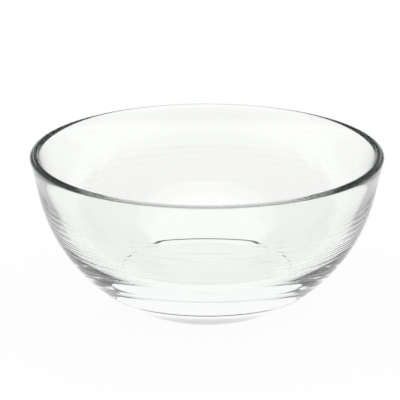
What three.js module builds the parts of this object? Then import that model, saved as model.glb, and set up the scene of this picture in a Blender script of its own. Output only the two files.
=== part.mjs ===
// A pressed glass serving bowl: one turned body, open at the top, on a small flat base.
// Millimetres and degrees, +Z up. The origin is the middle of the face that the bowl stands on.
import * as THREE from 'three';

// Lip, and the straight band under it
const rimDiameter = 200; // widest, over the rounded lip
const bowlHeight = 90; // from the table to the top of the lip
const lipThickness = 5.3;
const lipCrown = 1.6; // height of the rounded top above the lip's widest line
const lipUndercut = 14; // lean from upright, just below the widest line
const bandInset = 2.85; // the band starts this far inside the rim's widest line
const bandDepth = 14; // top of the band, below the rim
const bandHeight = 7;
const bandLean = 11.5; // from upright

// Round body and base
const baseDiameter = 77.6; // where the arc of the body would meet the table
const baseFillet = 6; // curve from the body to the base

// Press rings: fine ridges round the outside, starting just under the band
const ringDepth = 3.6; // first crest, below the band
const ringPitch = 3.6;
const ringWidth = 1.3;
const ringCount = 7;
const ringHeight = 0.05;

// Hollow: the wall thickens towards a floor that lies a small step lower
const lipSlope = 20.8; // from upright, inside the lip
const wallThickness = 5.3; // beside the band
const cornerThickness = 10.4; // at the edge of the floor
const floorDiameter = 100.7;
const floorStep = 1.25;
const floorStepWidth = 0.45;
const floorThickness = 8; // in the middle

// Steps along each curve, and around the bowl
const filletSteps = 4;
const bodySteps = 8;
const ringSteps = 4;
const neckSteps = 4;
const lipSteps = 4; // to each side of the top
const wallSteps = 14;
const floorSteps = 5;
const turnSteps = 72;

const blendPull = 0.35; // how far a blend keeps its end directions, as a share of its length
const degree = Math.PI / 180;
const down = -Math.PI / 2;

const glass = new THREE.MeshStandardMaterial({ color: 0xe4f0ea, roughness: 0.04, metalness: 0 });

// Points are (distance from the axis, height). Angles turn from the outward direction upwards.
function heading(angle) {
  return new THREE.Vector2(Math.cos(angle), Math.sin(angle));
}

function pointAt(centre, radius, angle) {
  return heading(angle).multiplyScalar(radius).add(centre);
}

function arc(centre, radius, startAngle, endAngle, steps) {
  const points = [];
  for (let step = 0; step <= steps; step += 1) {
    const share = step / steps;
    points.push(pointAt(centre, radius, startAngle + share * (endAngle - startAngle)));
  }
  return points;
}

// Smooth curve that leaves one point along its heading and arrives at the other along its own.
function blend(start, startHeading, end, endHeading, steps) {
  const pull = blendPull * start.distanceTo(end);
  const curve = new THREE.CubicBezierCurve(
    start,
    start.clone().addScaledVector(startHeading, pull),
    end.clone().addScaledVector(endHeading, -pull),
    end,
  );
  return curve.getPoints(steps);
}

// Arc that leaves the foot of the band smoothly and runs through the edge of the base.
function bodyArc(bandFoot) {
  const inward = heading(Math.PI - bandLean * degree);
  const toBase = new THREE.Vector2(baseDiameter / 2, 0).sub(bandFoot);
  const radius = toBase.lengthSq() / (2 * toBase.dot(inward));
  const centre = bandFoot.clone().addScaledVector(inward, radius);
  return { centre, radius };
}

// Centre of the fillet that touches the table and the body's arc from inside.
function filletCentre(body) {
  const drop = body.centre.y - baseFillet;
  const reach = Math.sqrt((body.radius - baseFillet) ** 2 - drop ** 2);
  return new THREE.Vector2(body.centre.x + reach, baseFillet);
}

// The body's side, from the base fillet up to the band. Each press ring rises and falls along a cosine.
function bodySide(body, filletAngle, bandFoot) {
  const angleAt = (height) => Math.asin((height - body.centre.y) / body.radius);
  const crestAt = (ring) => bandFoot.y - ringDepth - ring * ringPitch;
  const ridges = [];
  for (let ring = ringCount - 1; ring >= 0; ring -= 1) {
    for (let step = 0; step <= ringSteps; step += 1) {
      const share = step / ringSteps;
      const rise = (ringHeight / 2) * (1 - Math.cos(2 * Math.PI * share));
      const height = crestAt(ring) + (share - 0.5) * ringWidth;
      ridges.push(pointAt(body.centre, body.radius + rise, angleAt(height)));
    }
  }
  const lowestFoot = crestAt(ringCount - 1) - ringWidth / 2;
  const below = arc(body.centre, body.radius, filletAngle, angleAt(lowestFoot), bodySteps);
  return [...below.slice(1, -1), ...ridges, bandFoot];
}

// The inner wall from beside the band's foot down to the edge of the floor. Its thickness grows with the
// square of the way down.
function innerWall(body) {
  const startAngle = -bandLean * degree;
  const edgeAngle = -Math.acos((floorDiameter / 2 - body.centre.x) / (body.radius - cornerThickness));
  const points = [];
  for (let step = 0; step <= wallSteps; step += 1) {
    const share = step / wallSteps;
    const thickness = wallThickness + (cornerThickness - wallThickness) * share ** 2;
    const angle = startAngle + share * (edgeAngle - startAngle);
    points.push(pointAt(body.centre, body.radius - thickness, angle));
  }
  return points;
}

// The sunk floor, from the foot of its step to the middle, where it is level.
function sunkFloor(floorEdge) {
  const foot = new THREE.Vector2(floorEdge.x - floorStepWidth, floorEdge.y - floorStep);
  const rise = foot.y - floorThickness;
  const radius = (foot.x ** 2 + rise ** 2) / (2 * rise);
  const centre = new THREE.Vector2(0, floorThickness + radius);
  const floor = arc(centre, radius, down + Math.asin(foot.x / radius), down, floorSteps);
  return [...floor.slice(0, -1), new THREE.Vector2(0, floorThickness)];
}

// Oval lip, from its underside over the top and into the hollow.
function ovalLip() {
  const halfWidth = lipThickness / 2;
  const angleOfLean = (lean) => Math.atan((lipCrown / halfWidth) * Math.tan(lean * degree));
  const piece = (startAngle, endAngle, steps) => new THREE.EllipseCurve(
    rimDiameter / 2 - halfWidth, bowlHeight - lipCrown, halfWidth, lipCrown, startAngle, endAngle,
  ).getPoints(steps);
  return [
    ...piece(-angleOfLean(lipUndercut), 0, 1),
    ...piece(0, -down, lipSteps).slice(1),
    ...piece(-down, Math.PI - angleOfLean(lipSlope), lipSteps).slice(1),
  ];
}

function bowlProfile() {
  const upBand = heading(-down - bandLean * degree);
  const upLip = heading(-down - lipUndercut * degree);
  const intoHollow = heading(down - lipSlope * degree);

  const bandTop = new THREE.Vector2(rimDiameter / 2 - bandInset, bowlHeight - bandDepth);
  const bandFoot = bandTop.clone().addScaledVector(upBand, -bandHeight / upBand.y);
  const body = bodyArc(bandFoot);
  const fillet = filletCentre(body);
  const filletAngle = fillet.clone().sub(body.centre).angle() - 2 * Math.PI;

  const lip = ovalLip();
  const neck = blend(bandTop, upBand, lip[0], upLip, neckSteps);
  const wall = innerWall(body);
  const underLip = blend(lip.at(-1), intoHollow, wall[0], upBand.clone().negate(), neckSteps);

  return [
    new THREE.Vector2(0, 0),
    ...arc(fillet, baseFillet, down, filletAngle, filletSteps),
    ...bodySide(body, filletAngle, bandFoot),
    ...neck,
    ...lip.slice(1),
    ...underLip.slice(1),
    ...wall.slice(1),
    ...sunkFloor(wall.at(-1)),
  ];
}

function makeBowl() {
  const geometry = new THREE.LatheGeometry(bowlProfile(), turnSteps);
  geometry.rotateX(Math.PI / 2);
  const bowl = new THREE.Mesh(geometry, glass);
  bowl.name = 'bowl';
  return bowl;
}

const servingBowl = new THREE.Group();
servingBowl.add(makeBowl());

export default servingBowl;
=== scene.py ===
import math
import bpy
import numpy as np
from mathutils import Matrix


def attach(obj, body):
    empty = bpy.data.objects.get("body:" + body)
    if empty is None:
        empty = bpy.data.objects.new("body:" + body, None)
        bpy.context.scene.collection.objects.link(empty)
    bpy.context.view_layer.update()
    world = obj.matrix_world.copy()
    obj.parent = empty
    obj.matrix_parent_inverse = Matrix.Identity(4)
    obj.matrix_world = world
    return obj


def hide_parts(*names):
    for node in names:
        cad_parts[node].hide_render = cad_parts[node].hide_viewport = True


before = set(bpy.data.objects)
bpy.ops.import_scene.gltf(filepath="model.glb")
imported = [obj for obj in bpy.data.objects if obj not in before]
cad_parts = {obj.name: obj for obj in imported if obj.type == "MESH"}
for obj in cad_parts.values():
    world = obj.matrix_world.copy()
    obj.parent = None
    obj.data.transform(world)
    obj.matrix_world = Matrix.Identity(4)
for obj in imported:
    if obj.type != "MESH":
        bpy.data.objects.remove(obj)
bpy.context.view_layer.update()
scene = bpy.context.scene
mm = 0.001

# sizes of the glass in mm, heights from the table; leans and slopes in degrees
bowlShape = {
    "rimRadius": 100.0, "height": 90.0,
    "lipHalf": 2.65, "lipCrown": 1.6,   # oval lip: half its width, height above its widest line
    "lipUnder": 14.0,           # lean from upright just below the lip's widest line
    "neckPull": 0.35,           # share of its length that the neck keeps each end's direction
    "wallLean": 11.5,           # straight band under the lip, from upright
    "wallTop": 14.0, "wallEnd": 21.0,   # the straight band, measured down from the rim
    "wallRadius": 97.15,        # outside radius at the top of the straight band
    "baseRadius": 38.8, "baseFillet": 6.0,
    "innerLean": 20.84, "innerPullTop": 13.59,    # inner wall: one cubic curve from lip to floor ring
    "innerSlope": 26.25, "innerPullEnd": 44.7,
    "floorRingRadius": 50.36, "floorRingHeight": 18.08,   # edge of the sunk floor
    "stepRun": 0.45, "stepDrop": 1.7, "stepPull": 0.35,
    "floorThickness": 8.0,
    "ringTop": 24.6, "ringPitch": 3.6, "ringCount": 7,    # press rings outside, from the rim down
    "ringWidth": 1.3, "ringHeight": 0.05,
    # points along each stretch of the section, and steps around
    "rows": {"base": 4, "foot": 11, "below": 24, "ridge": 9, "between": 5, "band": 3, "neck": 8,
             "lip": 32, "wall": 36, "step": 12, "floor": 11},
    "around": 424,
}


def polar(radius, degrees):
    return radius * np.array([math.cos(math.radians(degrees)), math.sin(math.radians(degrees))])


# arc: centre plus radius times (cos, sin) of an angle that goes evenly from start to end;
# two radii give an oval
def arcPoints(centre, radius, start, end, count):
    turn = np.radians(np.linspace(start, end, count))
    return np.asarray(centre) + np.asarray(radius) * np.column_stack([np.cos(turn), np.sin(turn)])


def linePoints(start, end, count):
    share = np.linspace(0, 1, count)[:, None]
    return np.asarray(start) * (1 - share) + np.asarray(end) * share


# cubic curve: four points weighted by the cubic Bernstein shares of t
def cubicPoints(first, second, third, fourth, count):
    t = np.linspace(0, 1, count)[:, None]
    s = 1 - t
    return first * s ** 3 + 3 * second * s ** 2 * t + 3 * third * s * t ** 2 + fourth * t ** 3


# half section of the bowl as (distance from the axis, height), from the middle of the base
# round the outside, over the lip and down the inside to the middle of the floor
def bowlSection(shape):
    rows = shape["rows"]
    height = shape["height"]
    lipSize = np.array([shape["lipHalf"], shape["lipCrown"]])
    lipCentre = np.array([shape["rimRadius"], height]) - lipSize
    lean = math.radians(shape["wallLean"])
    downWall = np.array([-math.sin(lean), -math.cos(lean)])
    toAxis = np.array([-math.cos(lean), math.sin(lean)])   # square to the straight band
    wallTop = np.array([shape["wallRadius"], height - shape["wallTop"]])
    wallEnd = wallTop + downWall * (shape["wallEnd"] - shape["wallTop"]) / math.cos(lean)

    # body arc: leaves the straight band smoothly and runs through the edge of the base
    toBase = np.array([shape["baseRadius"], 0.0]) - wallEnd
    bodyRadius = toBase @ toBase / (2 * toAxis @ toBase)
    bodyCentre = wallEnd + bodyRadius * toAxis

    # fillet between the body arc and the base, touching both from inside
    fillet = shape["baseFillet"]
    reach = math.sqrt((bodyRadius - fillet) ** 2 - (bodyCentre[1] - fillet) ** 2)
    filletCentre = np.array([bodyCentre[0] + reach, fillet])
    filletTurn = math.degrees(math.atan2(*(filletCentre - bodyCentre)[::-1]))

    # flat base, then the fillet up to the body
    base = linePoints([0, 0], [filletCentre[0], 0], rows["base"])
    foot = arcPoints(filletCentre, fillet, -90, filletTurn, rows["foot"])

    # body with the press rings: each is a raised cosine of the height, as wide as ringWidth
    ringWidth = shape["ringWidth"]
    ringPitch = shape["ringPitch"]
    crests = height - shape["ringTop"] - ringPitch * np.arange(shape["ringCount"])[::-1]
    ridge = np.linspace(-ringWidth / 2, ringWidth / 2, rows["ridge"])
    between = np.linspace(ringWidth / 2, ringPitch - ringWidth / 2, rows["between"] + 2)[1:-1]
    ridgeRise = shape["ringHeight"] * (0.5 + 0.5 * np.cos(2 * math.pi * ridge / ringWidth))
    ringRise = np.tile(np.concatenate([ridgeRise, 0 * between]), shape["ringCount"])
    ringHeights = (crests[:, None] + np.concatenate([ridge, between])).ravel()
    ringTurn = np.arcsin((ringHeights - bodyCentre[1]) / bodyRadius)
    outward = np.column_stack([np.cos(ringTurn), np.sin(ringTurn)])
    rings = bodyCentre + (bodyRadius + ringRise)[:, None] * outward
    below = arcPoints(bodyCentre, bodyRadius, filletTurn, math.degrees(ringTurn[0]), rows["below"])
    body = np.vstack([below[:-1], rings])
    band = linePoints(wallEnd, wallTop, rows["band"])

    # lip: a smooth curve off the band, then the oval over to the inner wall; the oval's angle for a
    # lean is the arctangent of its height over its width times the lean's tangent
    flat = shape["lipCrown"] / shape["lipHalf"]
    leans = np.radians([shape["lipUnder"], shape["innerLean"]])
    lipStart, lipEnd = np.degrees(np.arctan(flat * np.tan(leans)))
    lip = arcPoints(lipCentre, lipSize, -lipStart, 180 - lipEnd, rows["lip"])
    pull = shape["neckPull"] * np.linalg.norm(lip[0] - wallTop)
    upLip = polar(1, 90 - shape["lipUnder"])
    neck = cubicPoints(wallTop, wallTop - pull * downWall, lip[0] - pull * upLip, lip[0], rows["neck"])

    # inside: wall curve, rounded step at the floor ring, then a floor arc that is level in the middle
    ringEdge = np.array([shape["floorRingRadius"], shape["floorRingHeight"]])
    intoFloor = polar(1, 180 + shape["innerSlope"])
    downInside = polar(1, 270 - shape["innerLean"])
    wall = cubicPoints(lip[-1], lip[-1] + shape["innerPullTop"] * downInside,
                       ringEdge - shape["innerPullEnd"] * intoFloor, ringEdge, rows["wall"])
    stepFoot = ringEdge - np.array([shape["stepRun"], shape["stepDrop"]])
    floorRise = stepFoot[1] - shape["floorThickness"]
    floorRadius = (stepFoot[0] ** 2 + floorRise ** 2) / (2 * floorRise)
    floorCentre = np.array([0, shape["floorThickness"] + floorRadius])
    floorTurn = math.degrees(math.asin(stepFoot[0] / floorRadius))
    alongFloor = polar(1, 180 + floorTurn)
    step = cubicPoints(ringEdge, ringEdge + shape["stepPull"] * intoFloor,
                       stepFoot - shape["stepPull"] * alongFloor, stepFoot, rows["step"])
    floor = arcPoints(floorCentre, floorRadius, floorTurn - 90, -90, rows["floor"])
    floor[-1, 0] = 0
    parts = [base, foot[1:], body[1:], band, neck[1:], lip[1:], wall[1:], step[1:], floor[1:]]
    return np.vstack(parts)


# surface of revolution: every section point turned about the upright axis, one pole at each end
def turnedMesh(name, section, around):
    turn = np.linspace(0, 2 * math.pi, around, endpoint=False)
    inner = section[1:-1]
    rows = len(inner)
    ring = np.stack([np.outer(inner[:, 0], np.cos(turn)), np.outer(inner[:, 0], np.sin(turn)),
                     np.repeat(inner[:, 1:], around, axis=1)], axis=-1).reshape(-1, 3)
    poles = np.array([[0, 0, section[0, 1]], [0, 0, section[-1, 1]]])
    points = np.vstack([ring, poles]) * mm
    row, col = np.meshgrid(np.arange(rows - 1), np.arange(around), indexing="ij")
    nextCol = (col + 1) % around
    quads = np.stack([row * around + col, row * around + nextCol,
                      (row + 1) * around + nextCol, (row + 1) * around + col], axis=-1).reshape(-1, 4)
    col = np.arange(around)
    nextCol = (col + 1) % around
    last = (rows - 1) * around
    bottomCap = np.stack([nextCol, col, np.full(around, len(ring))], axis=-1)
    topCap = np.stack([last + col, last + nextCol, np.full(around, len(ring) + 1)], axis=-1)
    mesh = bpy.data.meshes.new(name)
    mesh.from_pydata(points.tolist(), [], quads.tolist() + bottomCap.tolist() + topCap.tolist())
    mesh.update()
    mesh.shade_smooth()
    print(name, len(points), "points,", 2 * len(quads) + 2 * around, "triangles")
    return mesh


# node helpers: a value is another node's socket or a plain number
def feed(tree, slot, value):
    if isinstance(value, bpy.types.NodeSocket):
        tree.links.new(value, slot)
    else:
        slot.default_value = value


def mathNode(tree, operation, *values):
    node = tree.nodes.new("ShaderNodeMath")
    node.operation = operation
    for slot, value in zip(node.inputs, values):
        feed(tree, slot, value)
    return node.outputs["Value"]


def mixNode(tree, share, first, second):
    node = tree.nodes.new("ShaderNodeMix")
    for name, value in (("Factor", share), ("A", first), ("B", second)):
        feed(tree, node.inputs[name], value)
    return node.outputs["Result"]


def rangeNode(tree, value, fromLow, fromHigh, toLow=0, toHigh=1, interpolation="LINEAR"):
    node = tree.nodes.new("ShaderNodeMapRange")
    node.interpolation_type = interpolation
    ends = {"Value": value, "From Min": fromLow, "From Max": fromHigh, "To Min": toLow, "To Max": toHigh}
    for name, end in ends.items():
        feed(tree, node.inputs[name], end)
    return node.outputs["Result"]


# grey ramp through (position, level) marks in rising order
def rampNode(tree, value, marks):
    node = tree.nodes.new("ShaderNodeValToRGB")
    stops = node.color_ramp.elements
    for position, level in marks[2:]:
        stops.new(position)
    for stop, (position, level) in zip(stops, marks):
        stop.position = position
        stop.color = (level, level, level, 1)
    feed(tree, node.inputs["Fac"], value)
    return node.outputs["Color"]


# 1 where a whole number lies from fewest to most, else 0
def countWithin(tree, count, fewest, most):
    return mathNode(tree, "COMPARE", count, (fewest + most) / 2, (most - fewest + 1) / 2)


glassLook = {
    "ior": 1.52,
    "surface": (0.986, 1.0, 0.983),                 # slight green of all that is seen through
    "tint": (0.40, 0.75, 0.50), "density": 0.5,     # and a little more in thick glass
    "roughLow": 0.0, "roughHigh": 0.012,            # faint haze in patches
    "hazeFrom": 0.5, "hazeTo": 0.8,                 # part of the noise that is hazy
    "waveScale": 45.0, "waveDetail": 1.0, "waveHeight": 0.00001,   # soft unevenness of the pressed faces
    "bounces": 64,                                  # light is mirrored many times inside the wall
}


def clearGlass(look):
    material = bpy.data.materials.new("clearGlass")
    material.use_nodes = True
    tree = material.node_tree
    nodes = tree.nodes
    shader = nodes["Principled BSDF"]
    shader.inputs["Base Color"].default_value = (*look["surface"], 1)
    shader.inputs["Transmission Weight"].default_value = 1
    shader.inputs["IOR"].default_value = look["ior"]
    place = nodes.new("ShaderNodeTexCoord")
    wave = nodes.new("ShaderNodeTexNoise")
    wave.inputs["Scale"].default_value = look["waveScale"]
    wave.inputs["Detail"].default_value = look["waveDetail"]
    feed(tree, wave.inputs["Vector"], place.outputs["Object"])
    haze = rangeNode(tree, wave.outputs["Fac"], look["hazeFrom"], look["hazeTo"],
                     look["roughLow"], look["roughHigh"])
    feed(tree, shader.inputs["Roughness"], haze)
    bump = nodes.new("ShaderNodeBump")
    bump.inputs["Distance"].default_value = look["waveHeight"]
    feed(tree, bump.inputs["Height"], wave.outputs["Fac"])
    feed(tree, shader.inputs["Normal"], bump.outputs["Normal"])
    absorb = nodes.new("ShaderNodeVolumeAbsorption")
    absorb.inputs["Color"].default_value = (*look["tint"], 1)
    absorb.inputs["Density"].default_value = look["density"]
    feed(tree, nodes["Material Output"].inputs["Volume"], absorb.outputs["Volume"])
    return material


bowlMesh = turnedMesh("glassBowl", bowlSection(bowlShape), bowlShape["around"])
bowl = bpy.data.objects.new("glassBowl", bowlMesh)
scene.collection.objects.link(bowl)
bowl.data.materials.append(clearGlass(glassLook))
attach(bowl, "root")
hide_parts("bowl")
print("bowl done")


# white table, in metres unless noted; its top is a hair above the base, so that no gap shows
tableLook = {
    "size": 6.0, "top": 0.00005,
    "albedo": 0.95, "rough": 0.9,
    "white": 0.95,                      # share of plain white in what is seen, the rest keeps the shadow
    "mirrored": 0.55, "crossed": 3,     # painted shade: level after each mirroring, for light that crossed few faces
    "nearEdge": 0.11, "farEdge": 0.15,  # distance from the middle over which that level comes in
    "fewTurns": 5, "paintedTurnShade": 0.86,     # painted shade: level after each mirroring beyond the first few
    # shade under the base: (distance from the middle in mm, level)
    "shade": [(15, 0.5), (24, 0.53), (31, 0.76), (34, 1)], "shadeReach": 60.0,
}


def tableMaterial(look):
    material = bpy.data.materials.new("whiteTable")
    material.use_nodes = True
    tree = material.node_tree
    nodes = tree.nodes
    paint = nodes["Principled BSDF"]
    paint.inputs["Base Color"].default_value = (look["albedo"], look["albedo"], look["albedo"], 1)
    paint.inputs["Roughness"].default_value = look["rough"]
    paint.inputs["Specular IOR Level"].default_value = 0
    rays = nodes.new("ShaderNodeLightPath")
    crossings = rays.outputs["Transmission Depth"]
    turns = rays.outputs["Glossy Depth"]
    place = nodes.new("ShaderNodeTexCoord")
    middle = nodes.new("ShaderNodeVectorMath")
    middle.operation = "LENGTH"
    feed(tree, middle.inputs[0], place.outputs["Object"])
    distance = middle.outputs["Value"]

    # away from the bowl: painted shade, the table's glow is weaker with each mirroring inside the glass
    fewCrossings = countWithin(tree, crossings, 1, look["crossed"])
    paintedMirrorShade = mathNode(tree, "POWER", look["mirrored"], mathNode(tree, "MULTIPLY", turns, fewCrossings))
    away = rangeNode(tree, distance, look["nearEdge"], look["farEdge"], interpolation="SMOOTHSTEP")
    awayLevel = mixNode(tree, away, 1, paintedMirrorShade)

    # under the base: shade seen by light that entered the glass once and was mirrored once, at the floor
    reach = rangeNode(tree, distance, 0, look["shadeReach"] * mm)
    shade = rampNode(tree, reach, [(radius / look["shadeReach"], level) for radius, level in look["shade"]])
    enteredOnce = countWithin(tree, crossings, 1, 1)
    mirroredOnce = countWithin(tree, turns, 1, 1)
    shadeLevel = mixNode(tree, mathNode(tree, "MULTIPLY", enteredOnce, mirroredOnce), 1, shade)

    # everywhere: painted shade, the table's glow is weaker with each mirroring beyond the first few
    moreTurns = mathNode(tree, "MAXIMUM", mathNode(tree, "SUBTRACT", turns, look["fewTurns"]), 0)
    turnShadeLevel = mathNode(tree, "POWER", look["paintedTurnShade"], moreTurns)

    glow = nodes.new("ShaderNodeEmission")
    nearLevel = mathNode(tree, "MULTIPLY", awayLevel, shadeLevel)
    feed(tree, glow.inputs["Strength"], mathNode(tree, "MULTIPLY", nearLevel, turnShadeLevel))

    # plain white for what is seen directly, mirrored or through the glass
    seen = mathNode(tree, "MAXIMUM", rays.outputs["Is Camera Ray"], rays.outputs["Is Glossy Ray"])
    seen = mathNode(tree, "MAXIMUM", seen, rays.outputs["Is Transmission Ray"])
    both = nodes.new("ShaderNodeMixShader")
    feed(tree, both.inputs["Fac"], mathNode(tree, "MULTIPLY", seen, look["white"]))
    feed(tree, both.inputs[1], paint.outputs["BSDF"])
    feed(tree, both.inputs[2], glow.outputs["Emission"])
    feed(tree, nodes["Material Output"].inputs["Surface"], both.outputs["Shader"])
    return material


half = tableLook["size"] / 2
corners = [(-half, -half), (half, -half), (half, half), (-half, half)]
tableMesh = bpy.data.meshes.new("table")
tableMesh.from_pydata([(x, y, tableLook["top"]) for x, y in corners], [], [(0, 1, 2, 3)])
table = bpy.data.objects.new("table", tableMesh)
scene.collection.objects.link(table)
tableMesh.materials.append(tableMaterial(tableLook))
print("table done")


# studio: white to just above the horizon, dark sides, broad soft light overhead that leans to the
# front, and behind the bowl a white panel to either side of the middle; all angles in degrees
studioLight = {
    "sideFrom": 8.0, "sideTo": 50.0, "soft": 2.0, "lean": 8.0,   # elevations of the dark sides
    "low": 1.0, "side": 0.03, "top": 1.0,                        # brightness
    "panelFrom": 7.5, "panelTo": 13.0,                           # from the middle of the back
    "panelTop": 20.0, "panelSoft": 1.0, "panel": 1.0,
}


# level that goes from one value to the other around an elevation; height is the sine of an elevation
def edgeLevel(tree, height, elevation, soft, below, above):
    start = math.sin(math.radians(elevation - soft))
    end = math.sin(math.radians(elevation + soft))
    return rangeNode(tree, height, start, end, below, above)


def studioWorld(look):
    world = bpy.data.worlds.new("studio")
    world.use_nodes = True
    tree = world.node_tree
    nodes = tree.nodes
    place = nodes.new("ShaderNodeTexCoord")
    split = nodes.new("ShaderNodeSeparateXYZ")
    feed(tree, split.inputs["Vector"], place.outputs["Generated"])
    upright = split.outputs["Z"]
    leaning = nodes.new("ShaderNodeVectorMath")
    leaning.operation = "DOT_PRODUCT"
    lean = math.radians(look["lean"])
    leaning.inputs[1].default_value = (0, -math.sin(lean), math.cos(lean))
    feed(tree, leaning.inputs[0], place.outputs["Generated"])

    lowLevel = edgeLevel(tree, upright, look["sideFrom"], look["soft"], look["low"], look["side"])
    topLevel = edgeLevel(tree, leaning.outputs["Value"], look["sideTo"], look["soft"],
                         look["side"], look["top"])
    roomLevel = mathNode(tree, "MAXIMUM", lowLevel, topLevel)

    # panels: a ramp over the angle from the back, either way, as a share of half a turn
    aside = mathNode(tree, "ARCTAN2", split.outputs["X"], split.outputs["Y"])
    halfTurn = rangeNode(tree, mathNode(tree, "ABSOLUTE", aside), 0, math.pi)
    soft = look["panelSoft"]
    marks = [(look["panelFrom"] - soft, 0), (look["panelFrom"] + soft, 1),
             (look["panelTo"] - soft, 1), (look["panelTo"] + soft, 0)]
    panels = rampNode(tree, halfTurn, [(degrees / 180, level) for degrees, level in marks])
    panelLevel = edgeLevel(tree, upright, look["panelTop"], soft, look["panel"], 0)
    panelLight = mathNode(tree, "MULTIPLY", panels, panelLevel)
    studioLevel = mathNode(tree, "MAXIMUM", roomLevel, panelLight)

    # the background itself and the light on the table are plain white
    rays = nodes.new("ShaderNodeLightPath")
    plain = mathNode(tree, "MAXIMUM", rays.outputs["Is Camera Ray"], rays.outputs["Is Diffuse Ray"])
    feed(tree, nodes["Background"].inputs["Color"], mixNode(tree, plain, studioLevel, 1))
    return world


scene.world = studioWorld(studioLight)
scene.cycles.max_bounces = glassLook["bounces"]
scene.cycles.transmission_bounces = glassLook["bounces"]
scene.cycles.glossy_bounces = glassLook["bounces"]
print("studio done")

# camera at the photograph's angle, aimed a little below and left of the rim's centre
cameraSpot = {"distance": 1.5, "elevation": 17.1, "aimDown": 1.045, "aimLeft": 0.1575,
              "lens": 239.1, "sensor": 36.0}
camera = bpy.data.cameras.new("camera")
camera.lens = cameraSpot["lens"]
camera.sensor_width = cameraSpot["sensor"]
cameraObject = bpy.data.objects.new("camera", camera)
scene.collection.objects.link(cameraObject)
tilt = math.radians(cameraSpot["elevation"])
rimHeight = bowlShape["height"] * mm
cameraObject.location = (0, -cameraSpot["distance"] * math.cos(tilt),
                         rimHeight + cameraSpot["distance"] * math.sin(tilt))
cameraObject.rotation_euler = (math.radians(90 - cameraSpot["elevation"] - cameraSpot["aimDown"]), 0,
                               math.radians(cameraSpot["aimLeft"]))
scene.camera = cameraObject
scene.view_settings.view_transform = "Standard"
print("camera done")
